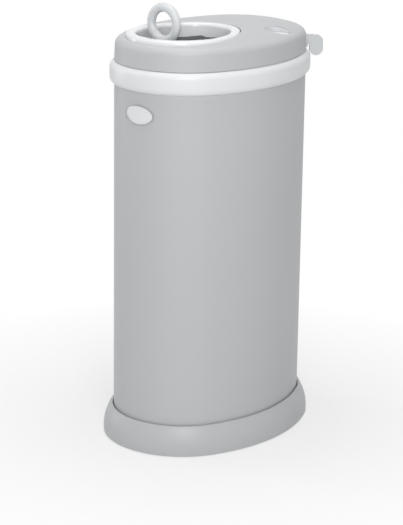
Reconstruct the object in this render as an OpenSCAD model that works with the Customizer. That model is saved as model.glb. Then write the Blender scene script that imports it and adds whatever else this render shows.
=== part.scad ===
/* [Body] */
// Length of the body's oval, front to back
body_len = 264; // [240:1:330]
// Width of the body's oval
body_w = 190; // [180:1:235]
// Radius of the oval's front and back ends
end_r = 83; // [76:1:88]
// Height of the steel shell that shows between the base and the white band
shell_h = 398; // [300:1:500]
// Thickness of the steel shell
shell_t = 1; // [0.8:0.1:1.6]
// Width of the flange turned in at the foot of the shell
shell_flange = 9; // [7:0.5:11]

/* [Base] */
// Height of the base skirt
base_h = 36; // [32:1:44]
// How far the base stands out beyond the shell
base_reach = 12.2; // [10:0.2:16]
// Radius of the skirt's bulging side, seen in section
base_bulge_r = 54; // [46:1:70]
// Wall of the base moulding
base_t = 3; // [2.4:0.1:3.6]
// Radius of a rubber foot
foot_r = 8; // [6:0.5:9]
// How far the feet lift the skirt off the floor
foot_lift = 1; // [0.8:0.1:2]

/* [White band] */
// Height of the band
band_h = 27; // [25:0.5:33]
// How far the band stands out beyond the shell
band_reach = 5.5; // [4:0.5:6.5]
// Rounding of the band's two edges
band_round = 8; // [6:0.5:9]

/* [Lid] */
// Wall of the lid moulding
lid_t = 2.5; // [2:0.1:3]
// Height of the lid from its lower edge to its crown
lid_h = 32.5; // [30:0.1:37]
// Radius of the shallow crown, seen in section
crown_r = 130; // [125:1:260]
// How far in from the outline the crown turns flat
crown_in = 46; // [42:1:46]
// Rounding of the lid's shoulder
shoulder_r = 9; // [7:0.5:10]
// How far the lid's side leans in
lid_draft = 0.8; // [0.4:0.1:1.2]

/* [Chute] */
// Radius of the front of the chute rim
rim_front_r = 63.5; // [58:0.5:67]
// Radius of the back of the chute rim
rim_back_r = 52; // [44:1:56]
// Length of the rim behind its widest place
rim_back_len = 81; // [74:1:84]
// Width of the rim, outside to inside
rim_w = 12; // [10:0.5:13]
// Distance from the lid's front to the rim's front
rim_inset = 10; // [10:0.5:16]
// Height of the rim's top above the lid's crown
rim_proud = 0.6; // [0.4:0.2:4]

/* [Sliding door] */
// Thickness of the door
door_t = 3; // [2.4:0.2:3.4]
// Travel of the door
door_travel = 84; // [60:1:88]
// Outer diameter of the loop handle
loop_d = 48; // [44:0.2:56]
// Thickness of the loop handle's ring
loop_t = 10.4; // [8:0.2:12]

/* [Lock] */
// Radius of the lock button
button_r = 12.5; // [10:0.5:13]
// Travel of the lock button
lock_travel = 4; // [3.4:0.2:4.4]

/* [Hinge] */
// Radius of the hinge pin
pin_r = 1.5; // [1.2:0.1:1.9]
// Radius of a hinge knuckle
knuckle_r = 4; // [3.6:0.1:4.4]

/* [Clearances] */
// Radial running clearance round the hinge pin
pin_gap = 0.05; // [0.03:0.01:0.1]
// Gap between a moving piece and its neighbour
gap = 0.4; // [0.3:0.05:0.6]

/* [Hidden] */
$fa = 3;
$fs = 0.6;

// The body's outline is an oval of four tangent arcs, two for the ends and two for the sides.
half_len = body_len/2;
half_w = body_w/2;
end_c = half_len - end_r;
side_r = (end_c*end_c + half_w*half_w - end_r*end_r)/(2*(half_w - end_r));
side_c = side_r - half_w;
seam = atan2(end_c, side_c);
lap_end = 1.2;
lap_side = 0.3;

// Heights, from the floor up.
web_z = 3;
web_top = web_z + base_t;
seat_z = 22;
pan_z = seat_z + shell_t;
pan_t = 2;
shell_bend = 2.4;
pan_off = -shell_bend - gap;
band_z = base_h + shell_h;
band_top = band_z + band_h;
shell_top = band_top - 9;
ledge_z = shell_top + gap + 3.6;
lid_z = band_top + gap;
lid_top = lid_z + lid_h;
rim_top = lid_top + rim_proud;
tray_z = lid_z + 0.5;
tray_t = 2;
tray_top = tray_z + tray_t;
door_z = tray_top + 2.3;
door_top = door_z + door_t;
seal_z = door_top + gap;
rim_wall_z = seal_z + 8.4;

// The lid's section: a leaning side, a round shoulder and a shallow crown that meets it smoothly.
shoulder_x = -lid_draft - shoulder_r;
crown_turn = asin((crown_in + shoulder_x)/(crown_r - shoulder_r));
crown_z = lid_top - crown_r;
shoulder_z = crown_z + (crown_r - shoulder_r)*cos(crown_turn);

// The chute rim's outline is an egg: a half circle in front, two side arcs and a back arc.
rim_y = -(half_len - rim_inset - rim_front_r);
egg_c = rim_back_len - rim_back_r;
egg_back_y = rim_y + egg_c;
egg_side_r = (egg_c*egg_c + rim_front_r*rim_front_r - rim_back_r*rim_back_r)/(2*(rim_front_r - rim_back_r));
egg_side_c = egg_side_r - rim_front_r;
egg_seam = atan2(egg_c, egg_side_c);
egg_lap_end = 3.5;
egg_lap_side = 1.5;
rim_t = 2.2;
rim_foot_z = rim_wall_z + 1;
lug_r = 5;
lug_t = 3;

// The door is wider than the chute, and its two runners slide in the rails.
door_r = rim_front_r - 5.5;
door_straight = 16;
runner_foot = 12;
runner_t = door_z - tray_top - 0.6;
runner_x = door_r + 0.5;
runner_tip = runner_x + 5.1;
runner_web = 1.1;
runner_front = rim_y - 16;
runner_back = rim_y + 40;
rail_x = runner_tip + 0.3;
rail_t = 3.5;
rail_lip = 3.7;
rail_floor = 1.6;
rail_top = door_top + gap + 2.4;
rail_front = runner_front - 1.5;
rail_back = runner_back + door_travel + 3;

// The loop handle stands near the door's front edge.
loop_y = rim_y - 29.5;
loop_tube = loop_t/2;
loop_mid = loop_d/2 - loop_tube;
loop_z = rim_top + loop_d/2 - 10.5;
stem_t = 9;
stem_w = 30;

// The lock button sits at the right of the lid, behind the rails.
button_x = 66.5;
button_y = 43.5;
dish_r = button_r + 3;
dish_floor = lid_top - 12.9;
dish_t = 1.8;
button_z = dish_floor + dish_t + gap;
button_h = 4;
slot_w = 6.4;
stem_x = 8;
bar_z = dish_floor - 7.6;
bar_t = 3;
bolt_y = rim_y + 31;
bolt_w = 6;
bolt_gap = 0.5;
bolt_tip = runner_tip + 0.4;
bar_x = rail_x + rail_t + lock_travel + gap;
bar_w = 3.5;
bar_front = button_y - 6;
bar_back = button_y + 6.6;
spring_y = button_y + 8.4;
spring_t = 0.6;
spring_h = 3.2;
spring_lug_x = 9.8;
spring_lug_w = 2;

// The hinge stands outside the band on the left, its axis along Y.
hinge_x = -(half_w + 4.5);
hinge_z = lid_z + knuckle_r;
knuckle_edges = [9.4, 9.8, 19.8, 20.2, 30];
arm_z = band_top + 0.6;

// Screws, all of one kind, seen from their heads.
screw_r = 1.5;
screw_head_r = 3.2;
screw_head_h = 1.8;
pilot_gap = 0.05;
post_r = 3.6;

// Points along an arc about [x, z], from angle a0 to angle a1, in n steps.
function arc(x, z, r, a0, a1, n) = [for (i = [0:n]) [x + r*cos(a0 + (a1 - a0)*i/n), z + r*sin(a0 + (a1 - a0)*i/n)]];

// A place on the front (end -1) or back (end 1) arc, at an angle from +X, offset from the body's outline.
function end_place(end, angle, off) = [(end_r + off)*cos(angle), end*(end_c + (end_r + off)*sin(angle))];

// A place on the right (side 1) or left (side -1) arc.
function side_place(side, angle, off) = [side*((side_r + off)*cos(angle) - side_c), (side_r + off)*sin(angle)];

// Height of the lid's crown a distance in from the outline.
function crown_at(inset) = crown_z + sqrt(crown_r*crown_r - pow(max(0, crown_in - inset), 2));

// Where the lid's leaning side stands at a height, from the outline.
function lid_side_at(z) = -lid_draft*(z - lid_z)/(shoulder_z - lid_z);

// Sweeps a section round the body's oval: its x is the distance out from the outline, its y the height.
// The end arcs run a little way into the side arcs, so that the four sweeps are one solid.
module oval_sweep() {
    for (turn = [90, -90]) translate([0, sign(turn)*end_c, 0])
        rotate_extrude(angle = 180 - 2*seam + 2*lap_end, start = turn - 90 + seam - lap_end)
            translate([end_r, 0]) children();
    for (turn = [0, 180]) translate([turn == 0 ? -side_c : side_c, 0, 0])
        rotate_extrude(angle = 2*seam - 2*lap_side, start = turn - seam + lap_side)
            translate([side_r, 0]) children();
}

// A flat plate with the body's oval outline, offset by off.
module oval_plate(off, z, h) {
    border = 40;
    oval_sweep() translate([-border, z]) square([border + off, h]);
    translate([0, 0, z]) cylinder(r = half_w - border/2, h = h);
    for (end = [-1, 1]) translate([0, end*end_c, z]) cylinder(r = end_r - border/2, h = h);
}

// Sweeps a section round the chute rim's egg outline, in the same way.
module egg_sweep() {
    translate([0, rim_y, 0])
        rotate_extrude(angle = 180 + 2*egg_lap_end, start = 180 - egg_lap_end)
            translate([rim_front_r, 0]) children();
    translate([0, egg_back_y, 0])
        rotate_extrude(angle = 180 - 2*egg_seam + 2*egg_lap_end, start = egg_seam - egg_lap_end)
            translate([rim_back_r, 0]) children();
    for (side = [0, 1]) translate([side == 0 ? -egg_side_c : egg_side_c, rim_y, 0])
        rotate_extrude(angle = egg_seam - 2*egg_lap_side,
                       start = (side == 0 ? 0 : 180 - egg_seam) + egg_lap_side)
            translate([egg_side_r, 0]) children();
}

// A flat plate with the egg outline, offset by off.
module egg_plate(off, z, h) {
    border = 20;
    egg_sweep() translate([-border, z]) square([border + off, h]);
    translate([0, rim_y, z]) cylinder(r = rim_front_r - border/2, h = h);
    translate([0, egg_back_y, z]) cylinder(r = rim_back_r - border/2, h = h);
}

// A plate with two round ends, between two centres.
module slot_plate(from, to, r, z, h) {
    turn = atan2(to[1] - from[1], to[0] - from[0]);
    run = norm(to - from);
    translate([from[0], from[1], z]) rotate([0, 0, turn]) {
        cylinder(r = r, h = h);
        translate([run, 0, 0]) cylinder(r = r, h = h);
        translate([0, -r, 0]) cube([run, 2*r, h]);
    }
}

// A pan-head screw driven upwards: z is the face under its head.
module screw(place, z, length) {
    translate([place[0], place[1], z]) cylinder(r = screw_r, h = length);
    translate([place[0], place[1], z - screw_head_h]) cylinder(r = screw_head_r, h = screw_head_h);
}

// The hole for a screw's shank.
module screw_hole(place, z, length) {
    translate([place[0], place[1], z]) cylinder(r = screw_r + pilot_gap, h = length);
}

// ---- Base

base_screw_places = [for (end = [-1, 1], a = [60, 120]) end_place(end, a, -shell_flange - 5.5)];
foot_places = concat([for (end = [-1, 1], a = [35, 90, 145]) end_place(end, a, -4)],
                     [for (side = [-1, 1]) side_place(side, 0, -4)]);

// Section of the base moulding: a bulging skirt, a seat for the shell and a web for the feet.
function base_section() =
    let (
        bulge_z = 7,
        top_round = 1.2,
        mouth = 1.2,
        edge = 1.2,
        bulge_x = base_reach - base_bulge_r,
        rise = asin((base_h - top_round - bulge_z)/base_bulge_r),
        inner_rise = asin((seat_z - base_t - bulge_z)/(base_bulge_r - base_t)),
        inner_drop = asin((web_top - bulge_z)/(base_bulge_r - base_t)),
        rim_x = bulge_x + base_bulge_r*cos(rise)
    )
    concat(
        arc(base_reach - edge, foot_lift + edge, edge, -90, 0, 3),
        arc(bulge_x, bulge_z, base_bulge_r, 0, rise, 10),
        arc(rim_x - top_round, base_h - top_round, top_round, 30, 90, 2),
        [[mouth, base_h], [mouth, seat_z], [-shell_flange, seat_z], [-shell_flange, seat_z - base_t]],
        arc(bulge_x, bulge_z, base_bulge_r - base_t, inner_rise, inner_drop, 5),
        [[-shell_flange - 12, web_top], [-shell_flange - 12, web_z], [base_reach - base_t, web_z],
         [base_reach - base_t, foot_lift]]
    );

module base_plinth() {
    color("#c3c4c6") difference() {
        oval_sweep() polygon(base_section());
        for (p = base_screw_places) screw_hole(p, web_z - 1, base_t + 2);
    }
}

module foot_pads() {
    color("#3a3b3d") for (p = foot_places) translate([p[0], p[1], 0]) {
        cylinder(r1 = foot_r - 0.8, r2 = foot_r, h = 0.8);
        translate([0, 0, 0.8]) cylinder(r = foot_r, h = web_z - 0.8);
    }
}

module floor_pan() {
    lip_h = 9;
    boss_r = 4.5;
    lip_t = 1.6;
    color("#b9babc") difference() {
        union() {
            oval_plate(pan_off, pan_z, pan_t);
            oval_sweep() translate([pan_off - lip_t, pan_z]) square([lip_t, lip_h]);
            for (p = base_screw_places) translate([p[0], p[1], web_top]) cylinder(r = boss_r, h = pan_z - web_top + 1);
        }
        for (p = base_screw_places) screw_hole(p, web_top - 1, 12);
    }
}

module base_screws() {
    color("#8a8c90") for (p = base_screw_places) screw(p, web_z, 13);
}

// ---- Body

rivet_places = [for (end = [-1, 1], a = [35, 145]) [0, end*end_c, end*a]];
rivet_z = band_z + 7;
rivet_r = 1.6;

// A rivet pointing outwards through the shell into the band.
module rivet(place, r, from, to) {
    translate([place[0], place[1], rivet_z]) rotate([0, 90, place[2]])
        translate([0, 0, end_r + from]) cylinder(r = r, h = to - from);
}

module body_shell() {
    hem = 1.2;
    color("#c6c7c9") difference() {
        oval_sweep() polygon(concat(
            arc(-shell_bend, seat_z + shell_bend, shell_bend, -90, 0, 4),
            [[0, shell_top], [-shell_t - hem, shell_top], [-shell_t - hem, shell_top - hem],
             [-shell_t, shell_top - hem]],
            arc(-shell_bend, seat_z + shell_bend, shell_bend - shell_t, 0, -90, 4),
            [[-shell_flange, seat_z + shell_t], [-shell_flange, seat_z]]
        ));
        for (p = rivet_places) rivet(p, rivet_r, -3, 1);
    }
}

module band_rivets() {
    head_r = 3;
    head_t = 0.9;
    color("#8a8c90") for (p = rivet_places) {
        rivet(p, rivet_r, -shell_t, 2.4);
        rivet(p, head_r, -shell_t - head_t, -shell_t);
    }
}

// One side of the hinge: a knuckle between two distances along Y, and a mirror of it.
module knuckle_pair(from, to) {
    for (side = [0, 1]) mirror([0, side, 0])
        translate([hinge_x, from, hinge_z]) rotate([-90, 0, 0]) cylinder(r = knuckle_r, h = to - from);
}

module pin_hole(r) {
    reach = knuckle_edges[4] + 2;
    translate([hinge_x, -reach, hinge_z]) rotate([-90, 0, 0]) cylinder(r = r, h = 2*reach);
}

module rim_band() {
    inner = 0.25;
    top_in = -3;
    ledge_in = -9;
    round_x = band_reach - band_round;
    from = -acos((inner - round_x)/band_round);
    web_in = hinge_x + knuckle_r - 0.2;
    color("#f1f2f3") difference() {
        union() {
            oval_sweep() polygon(concat(
                arc(round_x, band_z + band_round, band_round, from, 0, 6),
                arc(round_x, band_top - band_round, band_round, 0, 90, 8),
                [[top_in, band_top], [top_in, ledge_z], [ledge_in, ledge_z],
                 [ledge_in, shell_top + gap], [inner, shell_top + gap]]
            ));
            knuckle_pair(knuckle_edges[3], knuckle_edges[4]);
            for (side = [0, 1]) mirror([0, side, 0])
                translate([hinge_x - knuckle_r, knuckle_edges[3], hinge_z - 16])
                    cube([web_in - hinge_x + knuckle_r, knuckle_edges[4] - knuckle_edges[3], 16]);
        }
        pin_hole(pin_r);
        for (p = rivet_places) rivet(p, rivet_r, 0, 2.4);
    }
}

module badge_plate() {
    badge_half_len = 21;
    badge_half_h = 10.5;
    badge_r = 7;
    badge_t = 1.5;
    badge_z = band_z - 26;
    c = badge_half_len - badge_r;
    r = (c*c + badge_half_h*badge_half_h - badge_r*badge_r)/(2*(badge_half_h - badge_r));
    turn = atan2(c, r - badge_half_h);
    color("#f4f4f5") intersection() {
        translate([0, -end_c, badge_z - badge_half_h - 1])
            rotate_extrude(angle = 60, start = 240) translate([end_r, 0]) square([badge_t, 2*badge_half_h + 2]);
        translate([0, -half_len + 12, badge_z]) rotate([90, 0, 0]) {
            for (side = [0, 180]) rotate([0, 0, side]) {
                translate([c, 0, 0])
                    rotate_extrude(angle = 180 - 2*turn, start = turn - 90) square([badge_r, 20]);
                translate([0, badge_half_h - r, 0])
                    rotate_extrude(angle = 2*turn, start = 90 - turn) square([r, 20]);
            }
        }
    }
}

module hinge_pin() {
    color("#a8aaad") pin_at(knuckle_edges[4] + 1);
}

module pin_at(reach) {
    translate([hinge_x, -reach, hinge_z]) rotate([-90, 0, 0]) cylinder(r = pin_r, h = 2*reach);
}

// ---- Bag ring

module bag_ring() {
    ring_out = -3.5;
    ring_in = -16;
    lip_t = 2.2;
    lip_h = 20;
    ring_t = 2.6;
    ring_z = ledge_z + 0.3;
    ring_top = ring_z + ring_t;
    arm_in = -(half_w - 7.5);
    arm_out = -(half_w + ring_out - 0.1);
    arm_top = arm_z + 3.4;
    color("#e9eaeb") difference() {
        union() {
            oval_sweep() polygon(concat(
                [[ring_out, ring_z], [ring_out, ring_top]],
                arc(ring_in + 1.5, ring_top - 1.5, 1.5, 90, 180, 3),
                [[ring_in, ring_top - lip_h], [ring_in + lip_t, ring_top - lip_h], [ring_in + lip_t, ring_z]]
            ));
            translate([0, knuckle_edges[0], 0]) rotate([90, 0, 0]) linear_extrude(height = 2*knuckle_edges[0])
                polygon([[arm_in, ring_z], [arm_out, ring_z], [arm_out, arm_z], [hinge_x, arm_z],
                         [hinge_x, arm_top], [arm_in, arm_top]]);
            translate([hinge_x, -knuckle_edges[0], hinge_z]) rotate([-90, 0, 0])
                cylinder(r = knuckle_r, h = 2*knuckle_edges[0]);
        }
        pin_hole(pin_r + pin_gap);
    }
}

// ---- Lid

lid_post_inset = 10.5;
lid_screw_places = concat(
    [for (a = [26, 154]) end_place(-1, a, -lid_post_inset)],
    [for (a = [35, 145]) end_place(1, a, -lid_post_inset)],
    [for (side = [-1, 1], a = [-8, 8]) side_place(side, a, -lid_post_inset)]
);
lug_out = gap + post_r + 1;
// Each lug: the centre of the arc that it stands on, that arc's radius, and the angle from +X.
rim_lugs = concat([for (a = [-9, 189]) [rim_y, rim_front_r, a]], [for (a = [66, 114]) [egg_back_y, rim_back_r, a]]);
lug_places = [for (l = rim_lugs) [(l[1] + lug_out)*cos(l[2]), l[0] + (l[1] + lug_out)*sin(l[2])]];
lug_z = rim_foot_z;
bag_arm_half = knuckle_edges[0] + 0.5;

// Section of the lid, t thick, from its lower edge up to a distance reach inside the outline.
function lid_section(t, reach) =
    concat(
        [[0, lid_z]],
        arc(shoulder_x, shoulder_z, shoulder_r, 0, 90 - crown_turn, 7),
        arc(-crown_in, crown_z, crown_r, 90 - crown_turn, 90, 5),
        [[-reach, lid_top], [-reach, lid_top - t]],
        arc(-crown_in, crown_z, crown_r - t, 90, 90 - crown_turn, 3),
        arc(shoulder_x, shoulder_z, shoulder_r - t, 90 - crown_turn, 0, 5),
        [[-t, lid_z]]
    );

module lid_skin() {
    plate_z = lid_top - lid_t;
    oval_sweep() polygon(lid_section(lid_t, end_r - 11));
    translate([0, 0, plate_z]) cylinder(r = half_w - crown_in - 4, h = lid_t);
    for (end = [-1, 1]) translate([0, end*end_c, plate_z]) cylinder(r = end_r - crown_in - 0.5, h = lid_t);
}

// Height of the crown over a place inside the oval, measured from the nearer end's centre.
function crown_over(p) = let (
        q = [p[0], abs(p[1])],
        from_end = norm([q[0], q[1] - end_c]),
        from_side = norm([abs(q[0]) + side_c, q[1]])
    ) crown_at(atan2(q[1], abs(q[0]) + side_c) > seam ? end_r - from_end : side_r - from_side);

module lid_posts(places, z) {
    for (p = places) translate([p[0], p[1], z]) cylinder(r = post_r, h = crown_over(p) - lid_t/2 - z);
}

module lid_shell() {
    lug_seat = lug_z + lug_t;
    color("#c9cacc") difference() {
        union() {
            lid_skin();
            lid_posts(lid_screw_places, tray_top);
            lid_posts(lug_places, lug_seat);
            for (side = [0, 1]) mirror([0, side, 0])
                translate([hinge_x, knuckle_edges[1], hinge_z - knuckle_r + 0.4])
                    cube([6.5, knuckle_edges[2] - knuckle_edges[1], 2*knuckle_r - 0.4]);
            knuckle_pair(knuckle_edges[1], knuckle_edges[2]);
        }
        egg_plate(gap, lid_z + 10, lid_h);
        slot_plate([button_x, button_y], [button_x - lock_travel, button_y], dish_r + 0.2, lid_z + 10, lid_h);
        translate([hinge_x - 1, -bag_arm_half, lid_z - 1]) cube([12, 2*bag_arm_half, 6]);
        pin_hole(pin_r + pin_gap);
        for (p = lid_screw_places) screw_hole(p, tray_top - 1, 9);
        for (p = lug_places) screw_hole(p, lug_seat - 1, 6);
    }
}

rail_screw_ys = [rail_front + 8, (rail_front + rail_back)/2 + 8, rail_back - 8];

module lid_tray() {
    spout_t = 2;
    spout_h = 14;
    color("#b4b5b8") difference() {
        union() {
            oval_plate(-lid_t - 0.6, tray_z, tray_t);
            egg_sweep() translate([-rim_w - spout_t + 2.2, tray_z - spout_h]) square([spout_t, spout_h + 1]);
        }
        egg_plate(-rim_w + 0.2, tray_z - 1, tray_t + 2);
        translate([hinge_x, -bag_arm_half, tray_z - 1]) cube([13.4, 2*bag_arm_half, tray_t + 2]);
        for (p = lid_screw_places) screw_hole(p, tray_z - 1, tray_t + 2);
        for (side = [-1, 1], y = rail_screw_ys) screw_hole([side*rail_screw_x, y], tray_z - 1, tray_t + 2);
    }
}

module lid_seal() {
    seal_out = -3.4;
    seal_w = 2.4;
    color("#45464a") difference() {
        oval_sweep() translate([seal_out - seal_w, ledge_z + 3.2]) square([seal_w, tray_z - ledge_z - 3.2]);
        translate([hinge_x, -bag_arm_half, ledge_z]) cube([16, 2*bag_arm_half, 8]);
    }
}

module lid_screws() {
    color("#8a8c90") for (p = lid_screw_places) screw(p, tray_z, tray_t + 8);
}

// ---- Chute

module chute_rim() {
    crest = 4;
    color("#f4f5f6") difference() {
        union() {
            egg_sweep() polygon(concat(
                [[0, rim_foot_z]],
                arc(-crest, rim_top - crest, crest, 0, 90, 6),
                arc(-rim_w + crest, rim_top - crest, crest, 90, 180, 6),
                [[-rim_w, rim_wall_z], [-rim_w + rim_t, rim_wall_z]],
                arc(-rim_w + crest, rim_top - crest, crest - rim_t, 180, 90, 4),
                arc(-crest, rim_top - crest, crest - rim_t, 90, 0, 4),
                [[-rim_t, rim_foot_z]]
            ));
            for (lug = rim_lugs) rim_lug(lug);
        }
        for (p = lug_places) screw_hole(p, lug_z - 1, lug_t + 2);
    }
}

// A screw lug on the rim's outer wall.
module rim_lug(lug) {
    translate([0, lug[0], lug_z]) rotate([0, 0, lug[2]]) {
        translate([lug[1] + lug_out, 0, 0]) cylinder(r = lug_r, h = lug_t);
        translate([lug[1] - rim_t/2, -lug_r, 0]) cube([lug_out + rim_t/2, 2*lug_r, lug_t]);
    }
}

module rim_screws() {
    color("#8a8c90") for (p = lug_places) screw(p, lug_z, lug_t + 5);
}

module throat_seal() {
    color("#3d3e42") egg_sweep() translate([-rim_w, seal_z]) square([rim_t, rim_wall_z - seal_z]);
}

module seal_band() {
    color("#c9cacc") egg_sweep() translate([-rim_w - 0.8, seal_z + 3]) square([0.8, 1.8]);
}

// ---- Rails and door

rail_screw_x = rail_x + rail_t + 3.2;

// Right-hand rail: a channel open towards the door, with three screw ears.
module rail() {
    ear_r = 3.4;
    difference() {
        union() {
            translate([0, rail_back, 0]) rotate([90, 0, 0]) linear_extrude(height = rail_back - rail_front)
                polygon([
                    [rail_x - rail_lip, tray_top], [rail_x + rail_t, tray_top], [rail_x + rail_t, rail_top],
                    [rail_x - rail_lip, rail_top], [rail_x - rail_lip, door_top + gap], [rail_x, door_top + gap],
                    [rail_x, tray_top + rail_floor], [rail_x - rail_lip, tray_top + rail_floor]
                ]);
            for (y = rail_screw_ys) {
                translate([rail_screw_x, y, tray_top]) cylinder(r = ear_r, h = 4);
                translate([rail_x + 1, y - ear_r, tray_top]) cube([rail_screw_x - rail_x - 1, 2*ear_r, 4]);
            }
        }
        for (y = rail_screw_ys) screw_hole([rail_screw_x, y], tray_top - 1, 6);
    }
}

module rail_right() {
    color("#d5d6d8") difference() {
        rail();
        translate([rail_x - 1, bolt_y - bolt_w/2 - gap, tray_top + rail_floor])
            cube([rail_t + 2, bolt_w + 2*gap, door_top + gap - tray_top - rail_floor]);
    }
}

module rail_left() {
    color("#d5d6d8") mirror([1, 0, 0]) rail();
}

module rail_screws() {
    color("#8a8c90") for (side = [-1, 1], y = rail_screw_ys) screw([side*rail_screw_x, y], tray_z, tray_t + 3.5);
}

handle_screw_places = [[-9, loop_y], [9, loop_y]];
runner_screw_ys = [rim_y - 8, rim_y + 24];
runner_screw_x = door_r - 6;

module door_plate() {
    dish_depth = 1.1;
    dish_in = 9;
    front = [0, rim_y];
    back = [0, rim_y + door_straight];
    color("#4a4b4f") difference() {
        slot_plate(front, back, door_r, door_z, door_t);
        difference() {
            slot_plate(front, back, door_r - dish_in, door_top - dish_depth, dish_depth + 1);
            translate([-stem_w, rim_y - door_r, door_top - dish_depth - 1]) cube([2*stem_w, 36, dish_depth + 3]);
        }
        for (p = handle_screw_places) screw_hole(p, door_z - 1, door_t + 2);
        for (side = [-1, 1], y = runner_screw_ys) screw_hole([side*runner_screw_x, y], door_z - 1, 2.8);
    }
}

module door_runner() {
    low = door_z - runner_t;
    groove = tray_top + rail_floor + 0.3;
    difference() {
        translate([0, runner_back, 0]) rotate([90, 0, 0]) linear_extrude(height = runner_back - runner_front)
            polygon([
                [door_r - runner_foot, low], [runner_x + runner_web, low], [runner_x + runner_web, groove],
                [runner_tip, groove], [runner_tip, door_top], [runner_x, door_top], [runner_x, door_z],
                [door_r - runner_foot, door_z]
            ]);
        for (y = runner_screw_ys) {
            translate([runner_screw_x, y, low - 1]) cylinder(r = screw_r + pilot_gap, h = 4);
            translate([runner_screw_x, y, low - 1]) cylinder(r1 = 4, r2 = 1.6, h = 2.4);
        }
    }
}

module door_runners() {
    color("#e3e4e6") {
        difference() {
            door_runner();
            translate([runner_x + runner_web, bolt_y - bolt_w/2 - gap, tray_top])
                cube([6, bolt_w + 2*gap, door_top - tray_top + 1]);
        }
        mirror([1, 0, 0]) door_runner();
    }
}

// Flat-headed screws, flush under the runners.
module runner_screws() {
    low = door_z - runner_t;
    color("#8a8c90") for (side = [-1, 1], y = runner_screw_ys) translate([side*runner_screw_x, y, low]) {
        cylinder(r1 = 2.9, r2 = screw_r, h = 1.3);
        translate([0, 0, 1.3]) cylinder(r = screw_r, h = door_z + 1.6 - low - 1.3);
    }
}

module loop_handle() {
    neck_w = 28;
    flare = 2.5;
    top = loop_z - loop_mid;
    color("#eceeef", 0.85) difference() {
        union() {
            translate([0, loop_y, loop_z]) rotate([90, 0, 0])
                rotate_extrude() translate([loop_mid, 0]) circle(r = loop_tube);
            translate([0, loop_y + stem_t/2, 0]) rotate([90, 0, 0]) linear_extrude(height = stem_t)
                polygon([[-stem_w/2 - flare, door_top], [stem_w/2 + flare, door_top], [neck_w/2, door_top + 9],
                         [neck_w/2, top - 3], [stem_w/2, top + 2], [-stem_w/2, top + 2], [-neck_w/2, top - 3],
                         [-neck_w/2, door_top + 9]]);
        }
        for (p = handle_screw_places) screw_hole(p, door_top - 1, 11);
    }
}

module handle_screws() {
    color("#8a8c90") for (p = handle_screw_places) translate([p[0], p[1], door_z]) {
        cylinder(r = screw_r, h = door_t + 8);
        translate([0, 0, -1.3]) cylinder(r = screw_head_r, h = 1.3);
    }
}

// ---- Lock

// A deep cup with its mouth cut to the crown's fall. Two legs stand it on the tray, and two lugs hold the spring.
module lock_bezel() {
    from = [button_x, button_y];
    to = [button_x - lock_travel, button_y];
    wall = 1.2;
    mouth_z = crown_over(from) - 1.4;
    fall_right = 9.2;
    fall_back = 2.8;
    leg_r = 1.5;
    leg_ys = [bar_front - leg_r - 2, spring_y + spring_t + leg_r + 1.5];
    legs = [for (y = leg_ys) [button_x + sqrt(pow(dish_r - 0.5, 2) - pow(y - button_y, 2)), y]];
    lug_y = bar_back + 0.6;
    color("#e6e7e9") {
        difference() {
            slot_plate(from, to, dish_r, dish_floor, lid_h);
            slot_plate(from, to, dish_r - wall, dish_floor + dish_t, lid_h);
            translate([button_x, button_y, mouth_z]) rotate([-fall_back, fall_right, 0])
                translate([-2*dish_r, -2*dish_r, 0]) cube([4*dish_r, 4*dish_r, 2*lid_h]);
            translate([button_x - lock_travel - stem_x/2 - 0.2, button_y - slot_w/2, dish_floor - 1])
                cube([stem_x + lock_travel + 0.4, slot_w, dish_t + 2]);
        }
        for (x = [button_x - lock_travel - spring_lug_x - spring_lug_w, button_x + spring_lug_x]) difference() {
            translate([x, lug_y, bar_z]) cube([spring_lug_w, 3, dish_floor - bar_z]);
            translate([x - 1, spring_y, bar_z - 1]) cube([spring_lug_w + 2, spring_t, spring_h + 1]);
        }
        for (p = legs) translate([p[0], p[1], tray_top]) cylinder(r = leg_r, h = dish_floor + dish_t - tray_top);
    }
}

module lock_spring() {
    reach = spring_lug_x + spring_lug_w + 0.8;
    color("#9fa1a5") translate([button_x - lock_travel - reach, spring_y, bar_z])
        cube([2*reach + lock_travel, spring_t, spring_h]);
}

module lock_button() {
    edge = 1.2;
    dish = 60;
    color("#fafafa") {
        difference() {
            translate([button_x, button_y, 0]) rotate_extrude() polygon(concat(
                [[0, button_z], [button_r, button_z]],
                arc(button_r - edge, button_z + button_h - edge, edge, 0, 90, 4),
                [[0, button_z + button_h]]
            ));
            translate([button_x, button_y, button_z + button_h + dish - 0.7]) sphere(r = dish, $fn = 120);
        }
        translate([button_x - stem_x/2, button_y - slot_w/2 + 0.2, bar_z + bar_t])
            cube([stem_x, slot_w - 0.4, button_z - bar_z - bar_t]);
    }
}

module lock_bar() {
    front = bolt_y - bolt_w/2;
    low = tray_top + rail_floor + 0.4;
    nib_w = 3;
    color("#d5d6d8") {
        translate([button_x - 6, bar_front, bar_z]) cube([bar_x + bar_w - button_x + 6, bar_back - bar_front, bar_t]);
        translate([button_x - nib_w/2, bar_back - 1, bar_z]) cube([nib_w, spring_y - bar_back + 1 - 0.3, bar_t]);
        translate([bar_x, front, bar_z]) cube([bar_w, bar_back - front, bar_t]);
        translate([bar_x, front, low]) cube([bar_w, bolt_w, bar_z - low]);
        translate([bolt_tip, front, low]) cube([bar_x - bolt_tip, bolt_w, 2.6]);
    }
}

// ---- Lift tab

tab_angle = 50;
tab_low = lid_z + 1.6;
tab_high = shoulder_z - 1.4;

module tab_rivet(z, r, from, to) {
    translate([0, end_c, z]) rotate([0, 90, tab_angle]) translate([0, 0, end_r + from]) cylinder(r = r, h = to - from);
}

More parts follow.
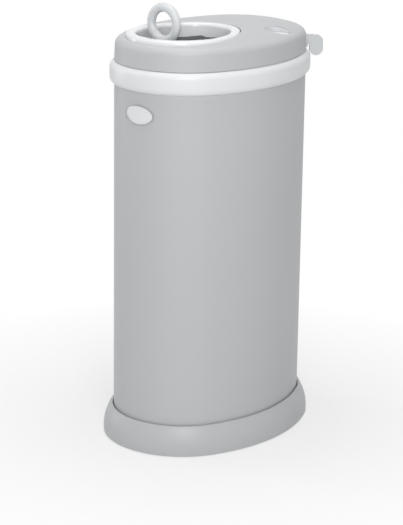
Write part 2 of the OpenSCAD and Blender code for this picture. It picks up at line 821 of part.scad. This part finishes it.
module lift_tab() {
    foot_half = 8;
    foot_t = 2.2;
    paddle_in = band_reach + 0.9;
    paddle_w = 16.5;
    paddle_r = paddle_w/2;
    paddle_t = 4;
    paddle_low = lid_z - 11 + paddle_r;
    paddle_high = lid_z + 14 - paddle_r;
    rivet_side = 1.2;
    color("#e4e6e7", 0.8) difference() {
        union() {
            translate([0, end_c, 0]) rotate_extrude(angle = 2*foot_half, start = tab_angle - foot_half)
                translate([end_r, 0]) polygon([[lid_side_at(tab_low), tab_low], [foot_t, tab_low],
                                               [foot_t, tab_high], [lid_side_at(tab_high), tab_high]]);
            translate([0, end_c, 0]) rotate([0, 0, tab_angle]) translate([end_r, paddle_t/2, 0])
                rotate([90, 0, 0]) linear_extrude(height = paddle_t) {
                    translate([paddle_in + paddle_r, paddle_low]) circle(r = paddle_r);
                    translate([paddle_in + paddle_r, paddle_high]) circle(r = paddle_r);
                    translate([paddle_in, paddle_low]) square([paddle_w, paddle_high - paddle_low]);
                    translate([rivet_side, tab_low + 1]) square([paddle_in + 4, tab_high - tab_low - 3]);
                }
        }
    }
}

module tab_rivets() {
    color("#8a8c90") for (turn = [-5, 5]) translate([0, end_c, (tab_low + tab_high)/2])
        rotate([0, 90, tab_angle + turn]) translate([0, 0, end_r + 2.2]) cylinder(r = 2, h = 0.8);
}

base_plinth();
foot_pads();
floor_pan();
base_screws();
body_shell();
rim_band();
band_rivets();
badge_plate();
hinge_pin();
bag_ring();
lid_shell();
lid_tray();
lid_seal();
lid_screws();
chute_rim();
rim_screws();
throat_seal();
seal_band();
rail_left();
rail_right();
rail_screws();
door_plate();
door_runners();
runner_screws();
loop_handle();
handle_screws();
lock_bezel();
lock_spring();
lock_button();
lock_bar();
lift_tab();
tab_rivets();
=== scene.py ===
import math

import bmesh
import bpy
from mathutils import Matrix, Vector


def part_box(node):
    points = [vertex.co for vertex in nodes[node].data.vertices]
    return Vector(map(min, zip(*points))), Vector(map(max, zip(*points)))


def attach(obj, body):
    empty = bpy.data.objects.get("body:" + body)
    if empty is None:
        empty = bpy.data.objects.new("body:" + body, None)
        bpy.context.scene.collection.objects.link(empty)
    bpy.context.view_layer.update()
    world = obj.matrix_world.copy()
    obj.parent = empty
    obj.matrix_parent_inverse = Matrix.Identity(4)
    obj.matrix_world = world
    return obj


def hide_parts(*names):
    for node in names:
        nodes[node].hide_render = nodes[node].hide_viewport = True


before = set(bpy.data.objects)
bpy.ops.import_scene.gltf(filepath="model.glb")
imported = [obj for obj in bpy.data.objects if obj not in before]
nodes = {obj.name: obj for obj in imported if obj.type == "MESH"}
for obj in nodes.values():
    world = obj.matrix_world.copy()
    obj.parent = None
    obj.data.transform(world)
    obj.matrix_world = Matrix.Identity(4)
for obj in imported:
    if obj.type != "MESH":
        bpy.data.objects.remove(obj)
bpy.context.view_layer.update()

# ---- Camera
# The view of the photograph: a long lens, a little above the lid, from the right of the bin's front.
azimuth = math.radians(38.85)
elevation = math.radians(16.57)
camera_roll = math.radians(0.80)
focal_px = 2011.3
photo_height_px = 525
sensor_mm = 36.0
camera_away_by = 2.4573
aim_height = 0.2026
aim_right = -0.00846
away = Vector((math.sin(azimuth)*math.cos(elevation), -math.cos(azimuth)*math.cos(elevation),
               math.sin(elevation)))
level_right = Vector((math.cos(azimuth), math.sin(azimuth), 0.0))
level_up = away.cross(level_right)
right = level_right*math.cos(camera_roll) + level_up*math.sin(camera_roll)
up = level_up*math.cos(camera_roll) - level_right*math.sin(camera_roll)
aim = Vector((0.0, 0.0, aim_height)) + level_right*aim_right
camera_data = bpy.data.cameras.new("camera")
camera_data.lens = focal_px*sensor_mm/photo_height_px
camera_data.sensor_width = sensor_mm
camera_data.clip_end = 20.0
camera = bpy.data.objects.new("camera", camera_data)
bpy.context.scene.collection.objects.link(camera)
facing = Matrix((right, up, away)).transposed().to_4x4()
camera.matrix_world = Matrix.Translation(aim + away*camera_away_by) @ facing
bpy.context.scene.camera = camera


# ---- Light and floor
# A white studio: a soft box in front, a narrow one at the left, one above, and an even pale surround.
# The floor is a pale sheet that keeps the bin's shadow and fades to the white of the surround.
class Wire:
    """A value in a material's node tree, so that shader maths is written as plain maths."""

    def __init__(self, tree, socket):
        self.tree = tree
        self.socket = socket

    def node(self, kind, output=0, settings=None, **inputs):
        made = self.tree.nodes.new(kind)
        for name, value in (settings or {}).items():
            setattr(made, name, value)
        for name, value in inputs.items():
            if name[1:].isdigit():
                place = made.inputs[int(name[1:])]
            else:
                place = made.inputs[name.replace("_", " ")]
            if isinstance(value, Wire):
                self.tree.links.new(value.socket, place)
            else:
                place.default_value = value
        return None if output is None else Wire(self.tree, made.outputs[output])

    def maths(self, operation, a, b=0.0):
        return self.node("ShaderNodeMath", settings={"operation": operation}, i0=a, i1=b)

    def __add__(self, other):
        return self.maths("ADD", self, other)

    def __radd__(self, other):
        return self.maths("ADD", other, self)

    def __mul__(self, other):
        return self.maths("MULTIPLY", self, other)

    def __rmul__(self, other):
        return self.maths("MULTIPLY", other, self)


def soft_box(name, turn, rise, away_by, target_z, size, power):
    data = bpy.data.lights.new(name, "AREA")
    data.shape = "RECTANGLE"
    data.size, data.size_y = size
    data.energy = power
    lamp = bpy.data.objects.new(name, data)
    bpy.context.scene.collection.objects.link(lamp)
    turn, rise = math.radians(turn), math.radians(rise)
    toward = Vector((math.sin(turn)*math.cos(rise), -math.cos(turn)*math.cos(rise), math.sin(rise)))
    lamp.location = Vector((0.0, 0.0, target_z)) + toward*away_by
    lamp.rotation_euler = toward.to_track_quat("Z", "Y").to_euler()
    lamp.visible_camera = False


soft_box("key_box", 42.0, 27.0, 2.1, 0.28, (0.7, 1.3), 20.0)
soft_box("left_box", -72.0, 12.0, 1.8, 0.25, (0.25, 1.3), 5.0)
soft_box("top_box", 0.0, 88.0, 1.7, 0.30, (1.2, 1.2), 13.0)

world = bpy.data.worlds.new("surround")
bpy.context.scene.world = world
world.use_nodes = True
world.node_tree.nodes.clear()
surround = Wire(world.node_tree, None)
lit = surround.node("ShaderNodeBackground", Color=(0.98, 0.99, 1.0, 1.0), Strength=0.28)
white = surround.node("ShaderNodeBackground", Color=(1.0, 1.0, 1.0, 1.0), Strength=1.0)
seen = surround.node("ShaderNodeLightPath", output="Is Camera Ray")
for ray in ("Is Glossy Ray", "Is Transmission Ray"):
    seen = seen.maths("MAXIMUM", seen, surround.node("ShaderNodeLightPath", output=ray))
surface = surround.node("ShaderNodeMixShader", i0=seen, i1=lit, i2=white)
surround.node("ShaderNodeOutputWorld", output=None, Surface=surface)
bpy.context.scene.view_settings.view_transform = "Standard"

floor_mesh = bpy.data.meshes.new("floor")
floor_form = bmesh.new()
bmesh.ops.create_grid(floor_form, x_segments=1, y_segments=1, size=4.0)
floor_form.to_mesh(floor_mesh)
floor_form.free()
floor = bpy.data.objects.new("floor", floor_mesh)
bpy.context.scene.collection.objects.link(floor)
floor_look = bpy.data.materials.new("floor")
floor_look.use_nodes = True
floor_look.node_tree.nodes.clear()
paper = Wire(floor_look.node_tree, None)
shaded = paper.node("ShaderNodeBsdfDiffuse", Color=(0.90, 0.90, 0.905, 1.0))
glow = paper.node("ShaderNodeEmission", Color=(1.0, 1.0, 1.0, 1.0), Strength=1.0)
spot = paper.node("ShaderNodeTexCoord", output="Object")
out_from_bin = paper.node("ShaderNodeVectorMath", output="Value", settings={"operation": "LENGTH"}, i0=spot)
fade = paper.node("ShaderNodeMapRange", Value=out_from_bin, i1=0.15, i2=0.50, i3=0.60, i4=1.0)
looked_at = paper.node("ShaderNodeLightPath", output="Is Camera Ray")
for ray in ("Is Glossy Ray", "Is Transmission Ray"):
    looked_at = looked_at.maths("MAXIMUM", looked_at, paper.node("ShaderNodeLightPath", output=ray))
blend = paper.node("ShaderNodeMixShader", i0=fade*looked_at, i1=shaded, i2=glow)
paper.node("ShaderNodeOutputMaterial", output=None, Surface=blend)
floor.data.materials.append(floor_look)


# ---- Base skirt
# A flared skirt moulded in grey plastic, satin with a fine spark-eroded grain, that hides the pail's floor.
# Its screws go up through the web into the pan.
def new_look(name, **constants):
    """A material with one Principled shader: returns it, the shader and the object's own coordinates."""
    look = bpy.data.materials.new(name)
    look.use_nodes = True
    tree = look.node_tree
    tree.nodes.clear()
    out = tree.nodes.new("ShaderNodeOutputMaterial")
    shader = tree.nodes.new("ShaderNodeBsdfPrincipled")
    tree.links.new(shader.outputs[0], out.inputs["Surface"])
    for key, value in constants.items():
        shader.inputs[key.replace("_", " ")].default_value = value
    coords = tree.nodes.new("ShaderNodeTexCoord")
    return look, shader, Wire(tree, coords.outputs["Object"])


def noise(place, scale, detail=3.0):
    return place.node("ShaderNodeTexNoise", Vector=place, Scale=scale, Detail=detail)


def tint(place, amount, low, high):
    return place.node("ShaderNodeMix", output=2, settings={"data_type": "RGBA"},
                      i0=amount, i6=(*low, 1.0), i7=(*high, 1.0))


def feed(look, shader, **wires):
    for name, wire in wires.items():
        look.node_tree.links.new(wire.socket, shader.inputs[name.replace("_", " ")])


def moulded(name, colour, roughness, grain=1100.0, depth=0.00002, drift=0.03, **constants):
    """Moulded plastic: fine grain, faint clouds in the colour, and scuffs that dull it in places."""
    look, shader, place = new_look(name, **constants)
    cloud = noise(place, 14.0, 2.0)
    fine = noise(place, grain, 2.0)
    scuff = noise(place, 60.0, 5.0)
    low = [c*(1.0 - drift) for c in colour]
    high = [min(1.0, c*(1.0 + drift)) for c in colour]
    bump = place.node("ShaderNodeBump", Strength=1.0, Distance=depth, Height=fine)
    feed(look, shader, Base_Color=tint(place, cloud*0.8 + fine*0.2, low, high),
         Roughness=roughness - 0.06 + 0.12*scuff, Normal=bump)
    return look


def wear(names, look):
    for name in names:
        nodes[name].data.materials.clear()
        nodes[name].data.materials.append(look)


def smooth(names, degrees=32.0):
    """Lets curved faces shade smoothly and keeps real edges sharp."""
    for name in names:
        bpy.context.view_layer.objects.active = nodes[name]
        weld = nodes[name].modifiers.new("weld", "WELD")
        weld.merge_threshold = 0.000004
        split = nodes[name].modifiers.new("split", "EDGE_SPLIT")
        split.split_angle = math.radians(degrees)
        split.use_edge_sharp = False
        nodes[name].data.polygons.foreach_set("use_smooth", [True]*len(nodes[name].data.polygons))


smooth(list(nodes))
wear(["base_plinth"], moulded("base_grey", (0.52, 0.53, 0.54), 0.42))

# ---- Body shell
# A tall oval tube of thin sheet steel, rolled and seamed. It is powder-coated in satin grey, which leaves
# a faint orange peel and a fine speckle, and it is held by the base below and the band above.
shell_look, shell_shader, shell_place = new_look("shell_grey")
peel = noise(shell_place, 420.0, 1.0)
speckle = noise(shell_place, 2600.0, 0.0)
shell_cloud = noise(shell_place, 6.0, 2.0)
shell_bump = shell_place.node("ShaderNodeBump", Strength=1.0, Distance=0.00003,
                              Height=peel*0.8 + speckle*0.2)
shell_colour = tint(shell_place, shell_cloud, (0.53, 0.54, 0.55), (0.56, 0.57, 0.58))
feed(shell_look, shell_shader, Base_Color=shell_colour, Roughness=0.40 + 0.08*peel, Normal=shell_bump)
wear(["body_shell"], shell_look)

# ---- Shell seam
# The steel shell's two edges meet on the hinge side, under the band and into the base.
# They are folded over each other, pressed flat and powder-coated with the rest.
seam_half_w = 0.0035
seam_rise = 0.0006
shell_low = Vector(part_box("body_shell")[0])
seam_in_base = 0.006
seam_in_band = 0.004
seam_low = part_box("base_plinth")[1][2] - seam_in_base
seam_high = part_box("rim_band")[0][2] + seam_in_band
seam_form = bmesh.new()
bmesh.ops.create_cube(seam_form, size=1.0)
bmesh.ops.scale(seam_form, vec=(2*seam_rise, 2*seam_half_w, seam_high - seam_low), verts=seam_form.verts[:])
bmesh.ops.bevel(seam_form, geom=seam_form.edges[:], offset=seam_rise*0.8, segments=3, profile=0.5,
                affect="EDGES", material=-1)
bmesh.ops.translate(seam_form, vec=(shell_low.x, 0.0, (seam_low + seam_high)/2), verts=seam_form.verts[:])
seam_mesh = bpy.data.meshes.new("shell_seam")
seam_form.to_mesh(seam_mesh)
seam_form.free()
seam_mesh.materials.append(shell_look)
shell_seam = bpy.data.objects.new("shell_seam", seam_mesh)
bpy.context.scene.collection.objects.link(shell_seam)
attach(shell_seam, "pail")

# ---- White band
# A satin white plastic moulding over the shell's top edge, held to it by rivets.
# It carries the hinge and the ledge that the bag ring rests on.
wear(["rim_band"], moulded("band_white", (0.83, 0.84, 0.85), 0.38))

# ---- Badge
# A bare oval plate of white plastic with a raised rim, its colour darker in a thin band round its edge.
# It is curved to the shell's front and stuck on below the band.
badge_low, badge_high = (Vector(corner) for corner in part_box("badge_plate"))
badge_half_len = badge_high.x
badge_half_h = (badge_high.z - badge_low.z)/2
badge_z = (badge_high.z + badge_low.z)/2
badge_end_r = 0.0070
badge_t = 0.0015
shell_end_r = 0.083
shell_front = badge_low.y + badge_t


def oval_point(turn):
    """A point on the badge's outline, an oval of four arcs, at an angle from +X."""
    end_c = badge_half_len - badge_end_r
    long_r = (end_c**2 + badge_half_h**2 - badge_end_r**2)/(2*(badge_half_h - badge_end_r))
    long_c = long_r - badge_half_h
    way = Vector((math.cos(turn), math.sin(turn)))
    seam = math.atan2(end_c, long_c)
    centre = Vector((math.copysign(end_c, way.x), 0.0))
    radius = badge_end_r
    if abs(way.x) < math.sin(seam):
        centre = Vector((0.0, -math.copysign(long_c, way.y)))
        radius = long_r
    return centre + way*radius


badge_form = bmesh.new()
badge_ring = bmesh.ops.create_circle(badge_form, cap_ends=True, segments=144, radius=1.0)["verts"]
for vert in badge_ring:
    vert.co.xy = oval_point(math.atan2(vert.co.y, vert.co.x))
badge_top = badge_form.faces[:]
# Each step of the badge's face: how far it is drawn in from the outline, and how far it stands off the shell.
side = (0.0, 0.0010)
rim_outer = (0.0002, 0.0013)
rim_inner = (0.0010, 0.0013)
rim_foot = (0.0012, 0.0010)
face_edge = (0.0030, 0.0011)
face_middle = (0.0070, 0.0012)
drawn_in = 0.0
stood_at = 0.0
for draw_in, stand in (side, rim_outer, rim_inner, rim_foot, face_edge, face_middle):
    grown = bmesh.ops.extrude_face_region(badge_form, geom=badge_top)["geom"]
    grown_verts = [part for part in grown if isinstance(part, bmesh.types.BMVert)]
    badge_top = [part for part in grown if isinstance(part, bmesh.types.BMFace)]
    shrink = ((badge_half_len - draw_in)/(badge_half_len - drawn_in),
              (badge_half_h - draw_in)/(badge_half_h - drawn_in), 1.0)
    bmesh.ops.scale(badge_form, verts=grown_verts, vec=shrink)
    bmesh.ops.translate(badge_form, verts=grown_verts, vec=(0.0, 0.0, stand - stood_at))
    drawn_in = draw_in
    stood_at = stand
bmesh.ops.poke(badge_form, faces=badge_top)
for vert in badge_form.verts:
    lean = vert.co.x/shell_end_r
    bent_r = shell_end_r + vert.co.z
    bent_y = shell_front + shell_end_r - bent_r*math.cos(lean)
    vert.co = Vector((bent_r*math.sin(lean), bent_y, badge_z + vert.co.y))
bmesh.ops.recalc_face_normals(badge_form, faces=badge_form.faces[:])
badge_mesh = bpy.data.meshes.new("badge")
badge_form.to_mesh(badge_mesh)
badge_form.free()
badge_mesh.polygons.foreach_set("use_smooth", [True]*len(badge_mesh.polygons))
badge = bpy.data.objects.new("badge", badge_mesh)
bpy.context.scene.collection.objects.link(badge)
badge_look, badge_shader, badge_place = new_look("badge_white", Coat_Weight=0.1)
axes = badge_place.node("ShaderNodeVectorMath", settings={"operation": "MULTIPLY"}, i0=badge_place,
                        i1=(1/badge_half_len, 0.0, 1/badge_half_h))
middle_of = badge_place.node("ShaderNodeVectorMath", settings={"operation": "SUBTRACT"}, i0=axes,
                             i1=(0.0, 0.0, badge_z/badge_half_h))
near_edge = badge_place.node("ShaderNodeVectorMath", output="Value", settings={"operation": "LENGTH"},
                             i0=middle_of)
edge_mask = badge_place.node("ShaderNodeMapRange", Value=near_edge, i1=0.90, i2=0.95)
badge_fine = noise(badge_place, 900.0, 2.0)
# The colour darkens in a thin band round the outline.
feed(badge_look, badge_shader,
     Base_Color=tint(badge_place, edge_mask*0.85, (0.83, 0.84, 0.85), (0.30, 0.31, 0.32)),
     Roughness=0.28 + 0.08*badge_fine,
     Normal=badge_place.node("ShaderNodeBump", Strength=1.0, Distance=0.00001, Height=badge_fine))
badge_mesh.materials.append(badge_look)
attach(badge, "pail")
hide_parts("badge_plate")

# ---- Lid
# One satin grey plastic moulding with round shoulders. A plainer grey tray, screwed on from below,
# closes its underside and carries the door's rails, and the pan in the base is the same plain grey.
wear(["lid_shell"], moulded("lid_grey", (0.55, 0.56, 0.57), 0.48))
wear(["lid_tray", "floor_pan"], moulded("inner_grey", (0.42, 0.43, 0.44), 0.55))

# ---- Chute rim
# The egg-shaped rim of the chute, moulded in glossy white plastic with a round crest.
# It is screwed up into the lid from below through its lugs.
wear(["chute_rim"], moulded("rim_white", (0.84, 0.85, 0.86), 0.22, Coat_Weight=0.15))

# ---- Inner white mouldings
# The bag ring, rails, runners and lock bar are plain white plastic, moulded without a finish,
# that is seen only when the lid is up.
wear(["bag_ring", "rail_left", "rail_right", "door_runners", "lock_bar"],
     moulded("inner_white", (0.78, 0.79, 0.81), 0.45, depth=0.000006))

# ---- Sliding door
# A dark plastic plate that shuts the chute from below and slides back under the lid.
# It hangs from two runners that are screwed to it.
wear(["door_plate"], moulded("door_dark", (0.05, 0.05, 0.055), 0.45))

# ---- Throat seal
# A dark rubber wall that hangs from the rim down to the door; its near-black colour is partly painted shade,
# standing in for the shadow inside the throat.
# Its upper edge is wavy where it is pushed over the rim's inner wall, and a lip runs round it in the same
# waves, just above the door, coloured pale grey as a painted highlight along its lit edge.
wear(["lid_seal", "foot_pads"], moulded("rubber_dark", (0.045, 0.045, 0.05), 0.62, grain=700.0))
seal_low, seal_high = (Vector(corner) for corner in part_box("throat_seal"))
throat_front_r = seal_high.x
throat_back_r = 0.0422
throat_front_y = seal_low.y + throat_front_r
throat_back_y = seal_high.y - throat_back_r
throat_run = throat_back_y - throat_front_y
throat_side_r = (throat_run**2 + throat_front_r**2 - throat_back_r**2)/(2*(throat_front_r - throat_back_r))
throat_side_c = throat_side_r - throat_front_r
throat_seam = math.atan2(throat_run, throat_side_c)


def throat_point(turn, off):
    """A point on the throat's egg outline, offset by off, whose normal is at an angle from +X."""
    way = Vector((math.cos(turn), math.sin(turn)))
    if way.y <= 0.0:
        return Vector((0.0, throat_front_y)) + way*(throat_front_r + off)
    if abs(way.x) < math.cos(throat_seam):
        return Vector((0.0, throat_back_y)) + way*(throat_back_r + off)
    return Vector((-math.copysign(throat_side_c, way.x), throat_front_y)) + way*(throat_side_r + off)


def wavy_strip(name, off, low, high, low_wave, high_wave, thick):
    """A strip that stands round the throat, with waves of its own in each edge."""
    wave_count = 9
    first_phase = 0.8
    second_phase = 2.0
    second_share = 0.4
    form = bmesh.new()
    ring = bmesh.ops.create_circle(form, segments=288, radius=1.0)["verts"]
    turns = {vert: math.atan2(vert.co.y, vert.co.x) for vert in ring}
    raised = bmesh.ops.extrude_edge_only(form, edges=form.edges[:])["geom"]
    for vert in [v for v in raised if isinstance(v, bmesh.types.BMVert)]:
        turns[vert] = math.atan2(vert.co.y, vert.co.x)
        vert.co.z = 1.0
    for vert, turn in turns.items():
        swell = (math.sin(wave_count*turn + first_phase)
                 + second_share*math.sin(2*wave_count*turn + second_phase))
        point = throat_point(turn, off)
        height = high + high_wave*swell if vert.co.z > 0.5 else low + low_wave*swell
        vert.co = Vector((point.x, point.y, height))
    bmesh.ops.recalc_face_normals(form, faces=form.faces[:])
    mesh = bpy.data.meshes.new(name)
    form.to_mesh(mesh)
    form.free()
    mesh.polygons.foreach_set("use_smooth", [True]*len(mesh.polygons))
    strip = bpy.data.objects.new(name, mesh)
    bpy.context.scene.collection.objects.link(strip)
    wall = strip.modifiers.new("wall", "SOLIDIFY")
    wall.thickness = thick
    wall.offset = 0.0
    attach(strip, "lid")
    return strip


wall_inset = 0.0026
wall_t = 0.0008
wall_top = seal_high.z + 0.0006
lip_inset = 0.0037
lip_t = 0.0014
lip_low = seal_low.z + 0.0026
lip_high = seal_low.z + 0.0042
wall_wave = 0.0010
lip_wave = 0.0009
seal_wall = wavy_strip("seal_wall", -wall_inset, seal_low.z, wall_top, 0.0, wall_wave, wall_t)
# The wall's near-black colour is partly painted shade, standing in for the shadow inside the throat.
seal_wall.data.materials.append(moulded("seal_rubber_and_painted_shade", (0.085, 0.086, 0.09), 0.55, grain=700.0))
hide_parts("throat_seal")
seal_lip = wavy_strip("seal_lip", -lip_inset, lip_low, lip_high, lip_wave, lip_wave, lip_t)
# The lip's pale grey is a painted highlight, standing in for the light along its edge.
seal_lip.data.materials.append(moulded("seal_light", (0.50, 0.51, 0.52), 0.5))
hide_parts("seal_band")

# ---- Loop handle
# A milky plastic loop that pulls the door, moulded in one piece with its stem and screwed to the door.
# Light goes a little way into it.
wear(["loop_handle"], moulded("loop_white", (0.72, 0.74, 0.75), 0.28, Subsurface_Weight=0.35,
                              Subsurface_Radius=(0.006, 0.006, 0.006)))

# ---- Lock button
# A glossy white slide button with a shallow dish for the thumb, down in a deep cup of white plastic.
# The cup's floor and lower wall, below the button's top, are painted dark as shade.
wear(["lock_button"], moulded("button_white", (0.88, 0.89, 0.90), 0.2, drift=0.01))
cup_look, cup_shader, cup_place = new_look("cup_white")
cup_height = cup_place.node("ShaderNodeSeparateXYZ", output=2, Vector=cup_place)
cup_mottle = noise(cup_place, 260.0, 3.0)
# Painted shade: the cup is dark from its floor up to a little below the button's top, and turns white over a
# short band above that.
shade_top_below = 0.0010
shade_band = 0.0030
cup_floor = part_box("lock_button")[1][2] - shade_top_below - shade_band
cup_depth = cup_place.node("ShaderNodeMapRange", Value=cup_height + 0.001*cup_mottle,
                           i1=cup_floor, i2=cup_floor + shade_band, i3=0.0, i4=1.0)
feed(cup_look, cup_shader, Base_Color=tint(cup_place, cup_depth, (0.13, 0.13, 0.135), (0.78, 0.79, 0.81)),
     Roughness=0.35 + 0.1*cup_mottle)
wear(["lock_bezel"], cup_look)

# ---- Lift tab
# A milky, slightly see-through plastic paddle at the lid's far end, moulded with fine upright ribs for grip.
# It is riveted to the lid's side.
tab_look, tab_shader, tab_place = new_look("tab_clear", Transmission_Weight=0.35, Subsurface_Weight=0.3,
                                           Subsurface_Radius=(0.004, 0.004, 0.004))
tab_ribs = tab_place.node("ShaderNodeTexWave", output=1, settings={"bands_direction": "X"},
                          Vector=tab_place, Scale=230.0)
tab_cloud = noise(tab_place, 120.0, 2.0)
tab_colour = tint(tab_place, tab_cloud*0.5 + tab_ribs*0.5, (0.74, 0.76, 0.77), (0.82, 0.84, 0.85))
feed(tab_look, tab_shader, Base_Color=tab_colour,
     Roughness=0.28 + 0.08*tab_cloud,
     Normal=tab_place.node("ShaderNodeBump", Strength=0.6, Distance=0.0002, Height=tab_ribs))
wear(["lift_tab"], tab_look)

# ---- Steel fasteners
# The zinc-plated screws and rivets, the hinge's ground pin and the lock's leaf spring.
# All are steel with a bright, slightly uneven finish.
steel_look, steel_shader, steel_place = new_look("zinc_steel", Metallic=1.0)
brushed = noise(steel_place, 1500.0, 3.0)
feed(steel_look, steel_shader, Base_Color=tint(steel_place, brushed, (0.50, 0.51, 0.53), (0.66, 0.67, 0.69)),
     Roughness=0.25 + 0.2*brushed)
wear(["base_screws", "band_rivets", "hinge_pin", "lid_screws", "rim_screws", "rail_screws", "runner_screws",
      "handle_screws", "lock_spring", "tab_rivets"], steel_look)
